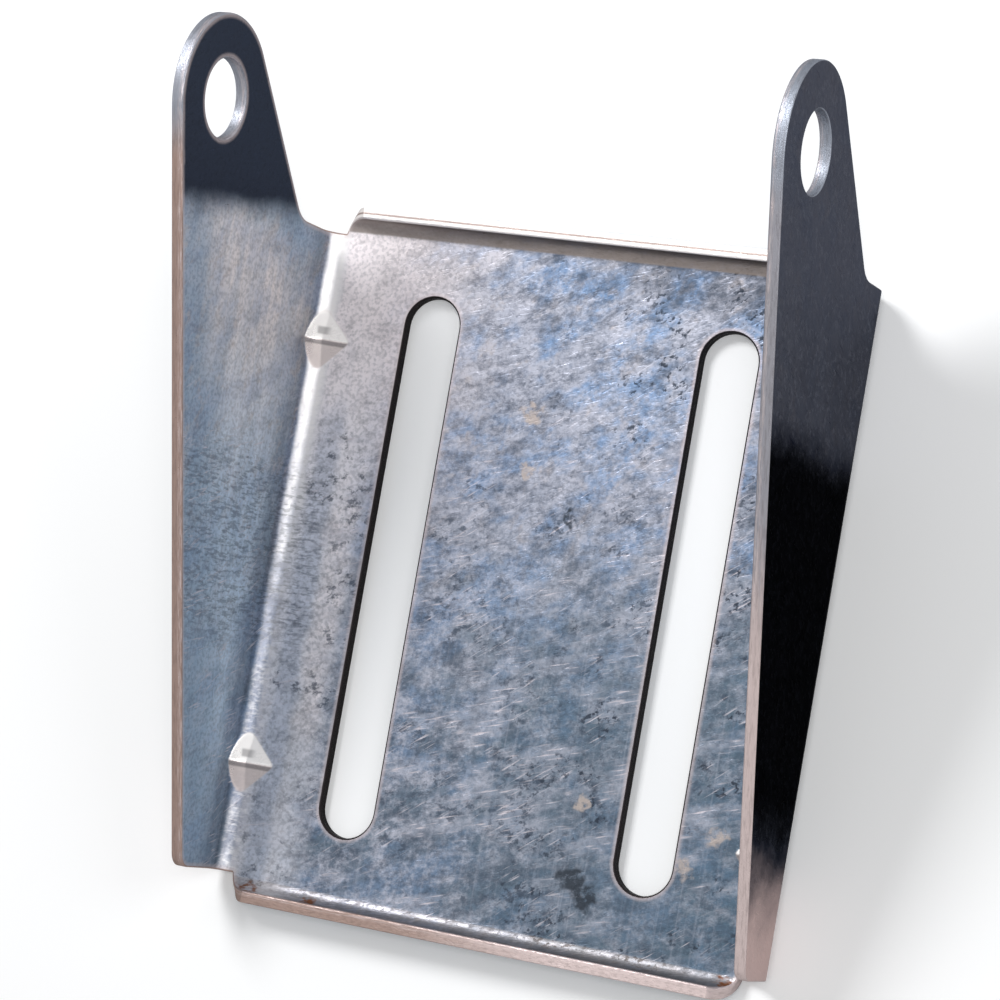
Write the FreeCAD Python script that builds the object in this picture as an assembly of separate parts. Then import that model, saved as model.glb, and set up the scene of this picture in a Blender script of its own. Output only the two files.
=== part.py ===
import FreeCAD, Part
import math
import os

from FreeCAD import Vector

# Roller bracket: one steel sheet, pierced, folded into a channel and plated.
# X runs across the bracket along the shaft, Y runs up the web towards the
# tabs, and Z points out of the mounting face towards the roller. The origin
# is the centre of the mounting face, which is the back of the web.

# Sheet and folds
SHEET = 2.7
INSIDE_WIDTH = 133.4
WEB_HEIGHT = 150.0
SIDE_BEND_R = 4.0

# Shaft hole in the two tabs
SHAFT_HOLE_D = 17.5
SHAFT_ABOVE_WEB = 17.4
SHAFT_STANDOFF = 61.0
TAB_R = 18.5

# Side outline of the ears
FOOT_DEPTH = 19.2
FOOT_CORNER_R = 4.0
TAB_BACK_ANGLE = 45.0
NECK_R = 8.0

# Mounting slots
SLOT_WIDTH = 13.4
SLOT_LENGTH = 125.0
SLOT_SPACING = 73.0

# Stiffening lips at the top and bottom of the web
LIP_BEND_R = 3.3
LIP_FLAT = 0.8
LIP_CORNER_R = 10.0

# Pressed gussets across the side bends
GUSSET_SPACING = 99.2
GUSSET_HALF_LENGTH = 8.0
GUSSET_WEB_LEG = 10.4
GUSSET_EAR_LEG = 3.8
GUSSET_WALL = 3.2
GUSSET_NOSE_R = 1.2

# Rounded rim that the punch leaves on the front of the slots and inside the tabs
RIM_R = 0.5

# How far cutters run past the sheet, and how deep joined pieces sink into it
OVERRUN = 3 * SHEET
SINK = SHEET / 8

# Worked out from the sizes above
HALF_INSIDE = INSIDE_WIDTH / 2
HALF_OUTSIDE = HALF_INSIDE + SHEET
HALF_HEIGHT = WEB_HEIGHT / 2
SIDE_OUTER_R = SIDE_BEND_R + SHEET
SHAFT_Y = HALF_HEIGHT + SHAFT_ABOVE_WEB
LIP_OUTER_R = LIP_BEND_R + SHEET
LIP_REACH = SHEET + LIP_BEND_R + LIP_FLAT
LIP_HALF_LENGTH = HALF_INSIDE - SIDE_BEND_R
EAR_TOP_Z = SHAFT_STANDOFF + TAB_R
TAB_TOP_Y = SHAFT_Y + TAB_R


def line(a, b):
    return Part.LineSegment(a, b).toShape()


def arc(a, middle, b):
    return Part.Arc(a, middle, b).toShape()


def face_of(edges):
    return Part.Face(Part.Wire(edges))


def polyhedron(points, triangles):
    """Closed solid from corner points and triangles of their indices."""
    faces = []
    for triangle in triangles:
        corners = [points[i] for i in triangle]
        corners.append(corners[0])
        faces.append(Part.Face(Part.makePolygon(corners)))
    solid = Part.makeSolid(Part.makeShell(faces))
    if solid.Volume < 0:
        solid.reverse()
    return solid


def channel():
    """The folded section, web and two sides, carried along Y past both ends."""
    low = -HALF_HEIGHT - OVERRUN
    length = TAB_TOP_Y + OVERRUN - low
    high = EAR_TOP_Z + OVERRUN

    def at(x, z):
        return Vector(x, low, z)

    def bend(sign, radius):
        """Quarter turn about the centre that both faces of the fold share."""
        centre_x = sign * (HALF_INSIDE - SIDE_BEND_R)
        diagonal = radius * math.sqrt(0.5)
        web_end = at(centre_x, SIDE_OUTER_R - radius)
        middle = at(centre_x + sign * diagonal, SIDE_OUTER_R - diagonal)
        side_end = at(centre_x + sign * radius, SIDE_OUTER_R)
        return web_end, middle, side_end

    out_l, out_l_mid, out_l_top = bend(-1, SIDE_OUTER_R)
    out_r, out_r_mid, out_r_top = bend(1, SIDE_OUTER_R)
    in_l, in_l_mid, in_l_top = bend(-1, SIDE_BEND_R)
    in_r, in_r_mid, in_r_top = bend(1, SIDE_BEND_R)
    edges = [
        line(out_l, out_r),
        arc(out_r, out_r_mid, out_r_top),
        line(out_r_top, at(HALF_OUTSIDE, high)),
        line(at(HALF_OUTSIDE, high), at(HALF_INSIDE, high)),
        line(at(HALF_INSIDE, high), in_r_top),
        arc(in_r_top, in_r_mid, in_r),
        line(in_r, in_l),
        arc(in_l, in_l_mid, in_l_top),
        line(in_l_top, at(-HALF_INSIDE, high)),
        line(at(-HALF_INSIDE, high), at(-HALF_OUTSIDE, high)),
        line(at(-HALF_OUTSIDE, high), out_l_top),
        arc(out_l_top, out_l_mid, out_l),
    ]
    return face_of(edges).extrude(Vector(0, length, 0))


def tangent_from(point, centre, radius):
    """Where the line from a point in front of the tab touches its circle."""
    dy = centre.y - point.y
    dz = centre.z - point.z
    distance = math.hypot(dy, dz)
    turn = math.asin(radius / distance)
    heading = math.atan2(dz, dy) + turn
    reach = math.sqrt(distance ** 2 - radius ** 2)
    return Vector(point.x, point.y + reach * math.cos(heading), point.z + reach * math.sin(heading))


def side_outline():
    """Side view of the bracket as a prism: web, foot, free edge, tab and neck."""
    x = -HALF_OUTSIDE - OVERRUN
    back = -OVERRUN
    centre = Vector(x, SHAFT_Y, SHAFT_STANDOFF)

    # Foot corner, rounded between the bottom edge and the slanting free edge
    foot = Vector(x, -HALF_HEIGHT, FOOT_DEPTH)
    touch = tangent_from(foot, centre, TAB_R)
    free = (touch - foot).normalize()
    half_turn = (math.pi / 2 - math.atan2(free.z, free.y)) / 2
    corner_cut = FOOT_CORNER_R * math.tan(half_turn)
    foot_low = foot - Vector(0, 0, corner_cut)
    foot_high = foot + free * corner_cut
    foot_centre = foot_low + Vector(0, FOOT_CORNER_R, 0)
    foot_middle = foot_centre + (foot - foot_centre).normalize() * FOOT_CORNER_R

    # Back edge of the tab, down to the neck fillet and the shoulder
    slope = math.radians(TAB_BACK_ANGLE)
    down = Vector(0, -math.cos(slope), -math.sin(slope))
    leave = centre + Vector(0, math.sin(slope), -math.cos(slope)) * TAB_R
    shoulder_end = leave + down * ((leave.y - HALF_HEIGHT) / math.cos(slope))
    neck_cut = NECK_R * math.tan((math.pi / 2 - slope) / 2)
    neck_high = shoulder_end - down * neck_cut
    neck_low = shoulder_end - Vector(0, 0, neck_cut)
    neck_centre = neck_low + Vector(0, NECK_R, 0)
    neck_middle = neck_centre + (shoulder_end - neck_centre).normalize() * NECK_R

    tab_top = centre + Vector(0, TAB_R, 0)
    corner_low = Vector(x, -HALF_HEIGHT, back)
    corner_high = Vector(x, HALF_HEIGHT, back)
    edges = [
        line(corner_low, foot_low),
        arc(foot_low, foot_middle, foot_high),
        line(foot_high, touch),
        arc(touch, tab_top, leave),
        line(leave, neck_high),
        arc(neck_high, neck_middle, neck_low),
        line(neck_low, corner_high),
        line(corner_high, corner_low),
    ]
    return face_of(edges).extrude(Vector(-2 * x, 0, 0))


def lip():
    """The top lip: the web's edge turned forward through a right angle."""
    start = -LIP_HALF_LENGTH
    edge = HALF_HEIGHT

    def at(y, z):
        return Vector(start, y, z)

    def quarter(radius):
        diagonal = radius * math.sqrt(0.5)
        return at(edge + diagonal, LIP_OUTER_R - diagonal)

    root = SHEET
    edges = [
        line(at(edge - root, 0), at(edge, 0)),
        arc(at(edge, 0), quarter(LIP_OUTER_R), at(edge + LIP_OUTER_R, LIP_OUTER_R)),
        line(at(edge + LIP_OUTER_R, LIP_OUTER_R), at(edge + LIP_OUTER_R, LIP_REACH)),
        line(at(edge + LIP_OUTER_R, LIP_REACH), at(edge + LIP_BEND_R, LIP_REACH)),
        line(at(edge + LIP_BEND_R, LIP_REACH), at(edge + LIP_BEND_R, LIP_OUTER_R)),
        arc(at(edge + LIP_BEND_R, LIP_OUTER_R), quarter(LIP_BEND_R), at(edge, SHEET)),
        line(at(edge, SHEET), at(edge - root, SHEET)),
        line(at(edge - root, SHEET), at(edge - root, 0)),
    ]
    solid = face_of(edges).extrude(Vector(2 * LIP_HALF_LENGTH, 0, 0))
    return solid.common(lip_corners())


def lip_corners():
    """The lip's blank with its rounded corners, as a prism square to the middle of the bend."""
    along_blank = Vector(0, 1, 1).normalize()
    through = Vector(0, -1, 1).normalize()
    top = (LIP_OUTER_R + LIP_REACH) * math.sqrt(0.5)
    radius = min(LIP_CORNER_R, top + SHEET)
    shoulder = top - radius
    diagonal = radius * (1 - math.sqrt(0.5))
    end = LIP_HALF_LENGTH
    start = Vector(0, HALF_HEIGHT, 0) - through * OVERRUN

    def at(x, distance):
        return start + Vector(x, 0, 0) + along_blank * distance

    edges = [
        line(at(-end, -OVERRUN), at(end, -OVERRUN)),
        line(at(end, -OVERRUN), at(end, shoulder)),
        arc(at(end, shoulder), at(end - diagonal, top - diagonal), at(end - radius, top)),
        line(at(end - radius, top), at(-end + radius, top)),
        arc(at(-end + radius, top), at(-end + diagonal, top - diagonal), at(-end, shoulder)),
        line(at(-end, shoulder), at(-end, -OVERRUN)),
    ]
    return face_of(edges).extrude(through * (2 * OVERRUN + SHEET))


def slot(x):
    """Cutter for one long slot with round ends."""
    radius = SLOT_WIDTH / 2
    reach = SLOT_LENGTH / 2 - radius
    z = -OVERRUN
    edges = [
        line(Vector(x - radius, -reach, z), Vector(x - radius, reach, z)),
        arc(Vector(x - radius, reach, z), Vector(x, reach + radius, z), Vector(x + radius, reach, z)),
        line(Vector(x + radius, reach, z), Vector(x + radius, -reach, z)),
        arc(Vector(x + radius, -reach, z), Vector(x, -reach - radius, z), Vector(x - radius, -reach, z)),
    ]
    return face_of(edges).extrude(Vector(0, 0, SHEET + 2 * OVERRUN))


def shaft_hole():
    start = Vector(-HALF_OUTSIDE - OVERRUN, SHAFT_Y, SHAFT_STANDOFF)
    return Part.makeCylinder(SHAFT_HOLE_D / 2, -2 * start.x, start, Vector(1, 0, 0))


def mirrored_pair(solid):
    return solid.fuse(solid.mirror(Vector(0, 0, 0), Vector(1, 0, 0)))


def gusset_section():
    """The gusset's ridge across the left bend, with X counted from the ear's inner face."""
    ear_end = Vector(0, 0, SHEET + GUSSET_EAR_LEG)
    web_end = Vector(GUSSET_WEB_LEG, 0, SHEET)
    along = (web_end - ear_end).normalize()
    outward = Vector(along.z, 0, -along.x)
    bend_centre = Vector(SIDE_BEND_R, 0, SIDE_OUTER_R)
    return ear_end, web_end, along, outward, bend_centre


def tent(y, ear_end, web_end, tip, root):
    """Solid with a ridge from the ear to the web that tapers to a point up and down."""
    place = Vector(-HALF_INSIDE, y, 0)
    half = Vector(0, GUSSET_HALF_LENGTH, 0)
    points = [place + ear_end, place + web_end, place + tip + half, place + tip - half, place + root]
    return polyhedron(points, [(0, 1, 2), (1, 0, 3), (0, 2, 4), (2, 1, 4), (1, 3, 4), (3, 0, 4)])


def gusset(y):
    """Rib pressed inwards across the left bend."""
    ear_end, web_end, along, outward, bend_centre = gusset_section()
    tip = bend_centre + outward * (SIDE_BEND_R + SINK)
    root = bend_centre + outward * (SIDE_BEND_R + SHEET / 2)
    rib = tent(y, ear_end - along * SINK, web_end + along * SINK, tip, root)
    in_section = [e for e in rib.Edges if all(abs(v.Y - y) < SINK for v in e.Vertexes)]
    ridge = max(in_section, key=lambda e: e.Length)
    return rib.makeFillet(GUSSET_NOSE_R, [ridge])


def dent(y):
    """Cutter for the dent that pressing the rib leaves in the outside of the bend."""
    ear_end, web_end, along, outward, bend_centre = gusset_section()
    floor = ear_end + outward * GUSSET_WALL
    ear_side = floor - along * ((floor.x + OVERRUN) / along.x)
    web_side = floor - along * ((floor.z + OVERRUN) / along.z)
    tip = bend_centre + outward * (SIDE_OUTER_R + SINK)
    root = bend_centre + outward * (SIDE_OUTER_R + OVERRUN)
    return tent(y, ear_side, web_side, tip, root)


def on_front_rim(edge):
    """True for a slot's edge in the front of the web and a shaft hole's edge inside a tab."""
    box = edge.BoundBox
    flat_in_web = abs(box.ZMin - SHEET) < SINK and abs(box.ZMax - SHEET) < SINK
    in_slot = box.XMax < SLOT_SPACING / 2 + SLOT_WIDTH and box.YMax < SLOT_LENGTH / 2 + SINK
    in_slot = in_slot and box.XMin > -SLOT_SPACING / 2 - SLOT_WIDTH and box.YMin > -SLOT_LENGTH / 2 - SINK
    flat_in_tab = abs(abs(box.XMin) - HALF_INSIDE) < SINK and abs(abs(box.XMax) - HALF_INSIDE) < SINK
    in_hole = flat_in_tab and abs(box.YLength - SHAFT_HOLE_D) < SINK and abs(box.ZLength - SHAFT_HOLE_D) < SINK
    return (flat_in_web and in_slot) or in_hole


def bracket():
    body = channel().common(side_outline())
    top_lip = lip()
    body = body.fuse([top_lip, top_lip.mirror(Vector(0, 0, 0), Vector(0, 1, 0))])
    for y in (-GUSSET_SPACING / 2, GUSSET_SPACING / 2):
        body = body.fuse(mirrored_pair(gusset(y)))
        body = body.cut(mirrored_pair(dent(y)))
    for x in (-SLOT_SPACING / 2, SLOT_SPACING / 2):
        body = body.cut(slot(x))
    body = body.cut(shaft_hole()).removeSplitter()
    return body.makeFillet(RIM_R, [e for e in body.Edges if on_front_rim(e)])


shape = bracket()
if len(shape.Solids) != 1 or not shape.isValid():
    raise RuntimeError("the bracket is not one valid solid")
box = shape.BoundBox
print("volume cm3", round(shape.Volume / 1000, 2))
print("size mm", round(box.XLength, 2), round(box.YLength, 2), round(box.ZLength, 2))
os.makedirs("parts", exist_ok=True)
shape.Solids[0].exportStep("parts/bracket.step")
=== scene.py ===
import math

import bpy
import numpy as np
from bpy.props import FloatProperty, FloatVectorProperty, IntProperty, PointerProperty
from bpy.types import Operator, Panel, PropertyGroup
from mathutils import Matrix


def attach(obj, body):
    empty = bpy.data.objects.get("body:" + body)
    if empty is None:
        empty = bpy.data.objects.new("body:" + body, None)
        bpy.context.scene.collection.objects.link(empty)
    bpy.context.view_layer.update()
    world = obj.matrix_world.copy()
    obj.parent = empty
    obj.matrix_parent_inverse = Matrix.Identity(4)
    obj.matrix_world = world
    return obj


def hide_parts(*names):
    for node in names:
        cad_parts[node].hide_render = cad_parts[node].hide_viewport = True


bl_info = {
    "name": "Stamped roller bracket",
    "version": (1, 0, 0),
    "blender": (4, 5, 0),
    "location": "View3D > Sidebar > Bracket",
    "description": "Adds a folded, zinc plated sheet steel roller bracket and a plain studio for it",
    "category": "Mesh",
}

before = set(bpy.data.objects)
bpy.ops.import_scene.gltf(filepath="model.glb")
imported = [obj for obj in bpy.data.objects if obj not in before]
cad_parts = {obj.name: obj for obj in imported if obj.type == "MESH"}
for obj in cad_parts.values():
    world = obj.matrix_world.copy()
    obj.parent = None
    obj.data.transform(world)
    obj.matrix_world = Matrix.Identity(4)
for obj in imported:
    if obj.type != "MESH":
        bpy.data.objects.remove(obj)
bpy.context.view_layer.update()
MM = 0.001


def linear(hex_colour):
    """sRGB hex text to linear RGB: below 0.04045 divided by 12.92, above it a power of 2.4."""
    channels = [int(hex_colour[i:i + 2], 16) / 255 for i in (1, 3, 5)]
    return [c / 12.92 if c <= 0.04045 else ((c + 0.055) / 1.055) ** 2.4 for c in channels]


def length(name, description, millimetres):
    return FloatProperty(
        name=name, description=description, default=millimetres * MM, unit="LENGTH", subtype="DISTANCE",
    )


def colour(name, description, hex_colour):
    return FloatVectorProperty(
        name=name, description=description, default=linear(hex_colour), size=3, min=0, max=1,
        subtype="COLOR",
    )


class BracketSizes(PropertyGroup):
    """Sizes of the folded sheet, the same as in the solid model."""

    sheet: length("Sheet", "Thickness of the steel", 2.7)
    inside_width: length("Inside width", "Gap between the two ears", 133.4)
    web_height: length("Web height", "Length of the side folds", 150.0)
    side_bend_r: length("Side bend radius", "Radius inside the side folds", 4.0)
    hole_d: length("Shaft hole", "Diameter of the hole in each tab", 17.5)
    shaft_above_web: length("Shaft above web", "From the end of the side folds to the shaft's axis", 17.4)
    shaft_standoff: length("Shaft standoff", "From the mounting face to the shaft's axis", 61.0)
    tab_r: length("Tab radius", "Round end of each tab", 18.5)
    foot_depth: length("Foot depth", "Depth of an ear at its lower end", 19.2)
    foot_corner_r: length("Foot corner radius", "Rounded corner of the foot", 4.0)
    neck_r: length("Neck radius", "Fillet between the tab and the shoulder", 8.0)
    slot_width: length("Slot width", "Width of the mounting slots", 13.4)
    slot_length: length("Slot length", "Overall length of the mounting slots", 125.0)
    slot_spacing: length("Slot spacing", "Between the centre lines of the slots", 73.0)
    lip_bend_r: length("Lip bend radius", "Radius inside the top and bottom lips", 3.3)
    lip_flat: length("Lip flat", "Straight part of a lip past its bend", 0.8)
    lip_corner_r: length("Lip corner radius", "Rounded corners of the lips", 10.0)
    gusset_spacing: length("Gusset spacing", "Between the two pressed gussets of a fold", 99.2)
    gusset_half_length: length("Gusset half length", "From a gusset's ridge to its point", 8.0)
    gusset_web_leg: length("Gusset web leg", "Reach of a gusset over the web", 10.4)
    gusset_ear_leg: length("Gusset ear leg", "Reach of a gusset up the ear", 3.8)
    gusset_wall: length("Gusset wall", "Steel left between a gusset and its dent", 3.2)
    front_rim_r: length("Front rim radius", "Rounding that the punch leaves on the front", 0.5)
    back_rim_r: length("Back rim radius", "Broken edge of the back", 0.25)


class ZincColours(PropertyGroup):
    """Colours of the zinc plating, the cut edges and the dirt, and of the painted highlights and painted
    shade on the folds, gussets, lips, slots, tabs and outside of the ears.
    """

    zinc: colour("Zinc", "Bluish grey of the plating", "#787F8F")
    light_grain: colour("Light grain", "Pale spangle of the zinc", "#BABCC9")
    dark_grain: colour("Dark grain", "Grey between the pale spangle", "#3F4856")
    # Painted sheen on the upper left of the web; the same pale pink also marks the die's bands
    sheen_and_die_band: colour("Bloom", "Pinkish bloom on the upper left", "#FCF2F3")
    # Painted light on the web beside the left fold
    side_painted_light: colour("Side bloom", "Pale lilac web beside the left fold", "#F0F0F8")
    blue: colour("Blue patches", "Steel blue passivated patches", "#6C8AB0")
    # Grey green, laid partly as painted shade below, on the lower right and beside the right ear, and in
    # patches
    teal: colour("Teal patches", "Grey green cast of the lower web", "#4F6270")
    speck: colour("Specks", "Dark pits and specks", "#2E3540")
    scratch: colour("Scratches", "Bare zinc in the scratches", "#CDC6CC")
    cream: colour("Cream spots", "Spots of dried drawing oil", "#B5A79E")
    smudge: colour("Smudge", "Dark smudge by the bottom lip", "#343A42")
    # Painted highlight on the folds and on the upper facets of the gussets
    burnish_and_highlight: colour("Burnished zinc", "Zinc pressed bright on folds and gussets", "#FBF8F6")
    # Pale beige over each whole gusset, partly a painted highlight
    under_ridge: colour("Under ridge", "Beige lower facet of a gusset", "#CCC0BD")
    # Painted shade under each gusset's ridge, and a painted dark reflection across its upper facet
    ridge_shade_and_reflection: colour("Ridge line", "Dark line under a gusset's ridge", "#4B4A50")
    ear: colour("Ear", "Grey blue inside the ears", "#D2E6F8")
    ear_warm: colour("Warm ear", "Beige cast across the upper ear", "#EFE0D8")
    # Darker strip on the ears: beside the fold it is a painted dark reflection, and in the drawn streaks and
    # along the free edge it only darkens
    ear_deep: colour("Deep ear", "Dull strip beside the fold and the free edge", "#819AB2")
    # Painted shade and dark reflection: the tabs' dark colour stands in for the dark surroundings that they
    # face
    tab: colour("Tab", "Dull dark plating of the tabs", "#363B46")
    # Painted shade outside the ears: dark grey, with a black band in the middle and brownish feet
    outside: colour("Outside", "Dull dark plating outside the ears", "#51535C")
    outside_shade: colour("Burnt outside", "Blackened band outside the ears", "#121317")
    outside_warm: colour("Warm outside", "Brownish plating at the ears' feet", "#D2B7B2")
    edge: colour("Sheared edge", "Brownish broken part of a sheared edge", "#97827A")
    edge_dark: colour("Edge streaks", "Dark streaks along a sheared edge", "#4A3F3C")
    # Bright smooth band of the cut edges, also laid as a painted highlight along the front of every cut edge
    edge_burnish_and_highlight: colour("Burnished edge", "Bright smooth part of a sheared edge", "#CDBEBD")
    tab_edge: colour("Tab edge", "Blue grey sheared edge of the tabs", "#8D939E")
    # Painted highlight on the top lip's cut edge, which faces up
    lip_edge_highlight: colour("Lip edge", "Pale sheared edge of the top lip", "#F1ECEA")
    # Painted shade on the slots' walls
    slot_wall_shade: colour("Slot wall", "Dark walls of the slots", "#19171A")
    # Painted shade in the top lip's hollow; the bottom lip gets the same brownish tone, weaker
    lip_hollow_tone_and_shade: colour("Lip hollow", "Brownish hollow of the top lip", "#8E837C")
    rust: colour("Rust", "Rust in the corners", "#6E4226")


class StudioSettings(PropertyGroup):
    """Camera, floor and lamps, and how smooth the rounded rims are."""

    floor: colour("Floor", "Pale floor", "#F4F5F6")
    focal: FloatProperty(name="Focal length", description="Lens on a 36 mm sensor", default=117.58)
    key: FloatProperty(name="Key lamp", description="Lamp at the upper left", default=7.8, unit="POWER")
    top: FloatProperty(name="Top lamp", description="Soft box overhead", default=2.0, unit="POWER")
    side: FloatProperty(name="Side lamp", description="Soft box at the right", default=2.0, unit="POWER")
    fill: FloatProperty(name="World", description="Strength of the pale surroundings", default=0.30, min=0)
    lift: FloatProperty(name="Floor lift", description="Turns the lit floor white", default=0.10)
    arc_steps: IntProperty(name="Arc steps", description="Steps round each rounded rim", default=4, min=2)


def setting_names(group):
    """Names of a group's own settings, without the two that every group has."""
    return [name for name in group.bl_rna.properties.keys() if name not in ("rna_type", "name")]


# Slope of a tab's back edge against the web
TAB_BACK_ANGLE = math.radians(45)


class Blank:
    """The flat blank and its folds. Lengths are in millimetres.

    p runs across the blank and q up it. The web has x = p and y = q. Past a side fold's start, p goes
    round the fold's arc and then up the ear, and past a lip's start q goes round the lip's arc.
    """

    def __init__(self, sizes):
        for name in setting_names(sizes):
            setattr(self, name, getattr(sizes, name) / MM)
        self.half_inside = self.inside_width / 2
        self.half_height = self.web_height / 2
        self.side_outer_r = self.side_bend_r + self.sheet
        self.lip_outer_r = self.lip_bend_r + self.sheet
        self.lip_reach = self.lip_outer_r + self.lip_flat
        self.fold_p = self.half_inside - self.side_bend_r
        self.fold_arc = (self.side_bend_r + self.sheet / 2) * math.pi / 2
        self.lip_arc = (self.lip_bend_r + self.sheet / 2) * math.pi / 2
        self.end_q = self.half_height + self.lip_arc + self.lip_flat
        self.shaft_q = self.half_height + self.shaft_above_web

        # The free edge runs from the foot's corner and touches the tab's circle
        dy = self.shaft_q + self.half_height
        dz = self.shaft_standoff - self.foot_depth
        self.slant = math.atan2(dz, dy) + math.asin(self.tab_r / math.hypot(dy, dz))
        self.foot_n = self.foot_depth - self.foot_corner_r * math.tan((math.pi / 2 - self.slant) / 2)

        # The back edge leaves the tab's circle and runs into the fillet over the shoulder
        self.back = TAB_BACK_ANGLE
        leave_q = self.shaft_q + self.tab_r * math.sin(self.back)
        leave_n = self.shaft_standoff - self.tab_r * math.cos(self.back)
        shoulder_n = leave_n - (leave_q - self.half_height) * math.tan(self.back)
        self.neck_n = shoulder_n - self.neck_r * math.tan((math.pi / 2 - self.back) / 2)

    def slot_half(self, q, inset):
        """Half the slot's width at q: the circle's chord in its round ends and the radius between them."""
        radius = self.slot_width / 2 + inset
        past = np.maximum(0, np.abs(q) - (self.slot_length - self.slot_width) / 2)
        return np.sqrt(np.maximum(0, radius ** 2 - past ** 2))

    def lip_end(self, q, inset):
        """Half length of a lip at q: a circle in the plane square to the middle of the lip's bend."""
        s = np.abs(q) - self.half_height
        turn = np.clip(s / self.lip_arc, 0, 1) * math.pi / 2
        middle = self.lip_bend_r + self.sheet / 2
        out = middle * np.sin(turn)
        up = self.lip_outer_r - middle * np.cos(turn) + np.maximum(0, s - self.lip_arc)
        highest = (self.lip_outer_r + self.lip_reach) * math.sqrt(0.5)
        drop = (out + up) * math.sqrt(0.5) - highest + self.lip_corner_r
        centre = self.fold_p - self.lip_corner_r
        return centre + np.sqrt((self.lip_corner_r - inset) ** 2 - drop ** 2)

    def free_edge(self, q, inset):
        """Height of the ear's free edge at q: foot corner circle, slanting line, tab circle."""
        foot_r = self.foot_corner_r - inset
        foot_q = self.half_height - self.foot_corner_r
        rise = (q + self.half_height) * math.tan(self.slant)
        line = self.foot_depth + rise - inset / math.cos(self.slant)
        corner = self.foot_n + np.sqrt(np.maximum(0, foot_r ** 2 - (q + foot_q) ** 2))
        tab_r = self.tab_r - inset
        tab = self.shaft_standoff + np.sqrt(np.maximum(0, tab_r ** 2 - (q - self.shaft_q) ** 2))
        height = np.where(q < -foot_q - foot_r * math.sin(self.slant), corner, line)
        return np.where(q > self.shaft_q - tab_r * math.sin(self.slant), tab, height)

    def back_edge(self, q, inset):
        """Height of the tab's back edge at q: neck circle, line at the back's angle, tab circle."""
        neck_r = self.neck_r + inset
        neck_q = self.half_height + self.neck_r
        neck = self.neck_n + np.sqrt(np.maximum(0, neck_r ** 2 - (q - neck_q) ** 2))
        tab_r = self.tab_r - inset
        leave_q = self.shaft_q + tab_r * math.sin(self.back)
        line = self.shaft_standoff - tab_r * math.cos(self.back) - (leave_q - q) * math.tan(self.back)
        tab = self.shaft_standoff - np.sqrt(np.maximum(0, tab_r ** 2 - (q - self.shaft_q) ** 2))
        height = np.where(q < neck_q - neck_r * math.sin(self.back), neck, line)
        return np.where(q > leave_q, tab, height)

    def hole_half(self, q, inset):
        """Half the shaft hole's chord at q."""
        return np.sqrt(np.maximum(0, (self.hole_d / 2 + inset) ** 2 - (q - self.shaft_q) ** 2))

    def fold(self, p, q, height):
        """Point and inward direction for (p, q) at a height above the back of the sheet.

        In a fold of outer radius R the point is R - height from the fold's axis, turned by the arc length
        over the middle radius. Flat parts go on along the tangent.
        """
        side = np.sign(p)
        turn = np.clip((np.abs(p) - self.fold_p) / self.fold_arc, 0, 1) * math.pi / 2
        up = np.maximum(0, np.abs(p) - self.fold_p - self.fold_arc)
        flat_p = np.minimum(np.abs(p), self.fold_p)
        reach = self.side_outer_r - height
        x = side * (flat_p + reach * np.sin(turn))
        z = self.side_outer_r - reach * np.cos(turn) + up
        lip_side = np.sign(q)
        in_lip = (np.abs(q) > self.half_height) & (np.abs(p) <= self.fold_p)
        lip_turn = np.clip((np.abs(q) - self.half_height) / self.lip_arc, 0, 1) * math.pi / 2 * in_lip
        lip_up = np.maximum(0, np.abs(q) - self.half_height - self.lip_arc) * in_lip
        lip_reach = self.lip_outer_r - height
        y = np.where(in_lip, lip_side * (self.half_height + lip_reach * np.sin(lip_turn)), q)
        z = np.where(in_lip, self.lip_outer_r - lip_reach * np.cos(lip_turn) + lip_up, z)
        inward_z = np.cos(turn) * np.cos(lip_turn)
        inward = np.stack([-side * np.sin(turn), -lip_side * np.sin(lip_turn), inward_z], -1)
        return np.stack([x, y, z], -1), inward


def steps(start, stop, count, ease="even"):
    """Positions from start up to, but without, stop: even, or crowded at the first or the last end."""
    t = np.arange(count) / count
    if ease == "first":
        t = 1 - np.cos(t * math.pi / 2)
    if ease == "last":
        t = np.sin(t * math.pi / 2)
    return start + (stop - start) * t


def runs(*stops):
    """Joins runs of positions. Each stop is a position, the steps to the next one, and how they crowd."""
    parts = [steps(a[0], b[0], a[1], a[2]) for a, b in zip(stops, stops[1:])]
    return np.concatenate(parts + [[stops[-1][0]]])


def spread(*stops):
    """Columns across a patch: even steps between edge curves, each an array with a value for each row."""
    parts = []
    for (low, count), (high, _) in zip(stops, stops[1:]):
        t = np.arange(count) / count
        parts.append(low[:, None] + (high - low)[:, None] * t)
    return np.concatenate(parts + [stops[-1][0][:, None]], 1)


LIP_ROWS = 15

# Gap in millimetres between a gusset and the rows and columns that may stand further apart
CALM_UP = 1.0
CALM_ACROSS = 1.2


def web_rows(blank, inset):
    """Heights q of the web's rows, with a row at each place where the outline changes.

    The first and last LIP_ROWS rows are past the ears' ends.
    """
    cap = (blank.slot_length - blank.slot_width) / 2
    apex = cap + blank.slot_width / 2 + inset
    calm = blank.gusset_spacing / 2 - blank.gusset_half_length - CALM_UP
    half = blank.half_height
    arc = half + blank.lip_arc
    foot = half - blank.foot_corner_r + (blank.foot_corner_r - inset) * math.sin(blank.slant)
    return runs(
        (-blank.end_q + inset, 2, "even"), (-arc, 12, "even"), (-half, 1, "even"),
        (-half + inset, 8, "first"), (-foot, 4, "even"), (-apex, 10, "first"), (-cap, 34, "even"),
        (-calm, 40, "even"), (calm, 34, "even"), (cap, 10, "last"), (apex, 8, "even"),
        (half - inset, 1, "even"), (half, 12, "even"), (arc, 2, "even"), (blank.end_q - inset, 0, "even"),
    )


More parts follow.
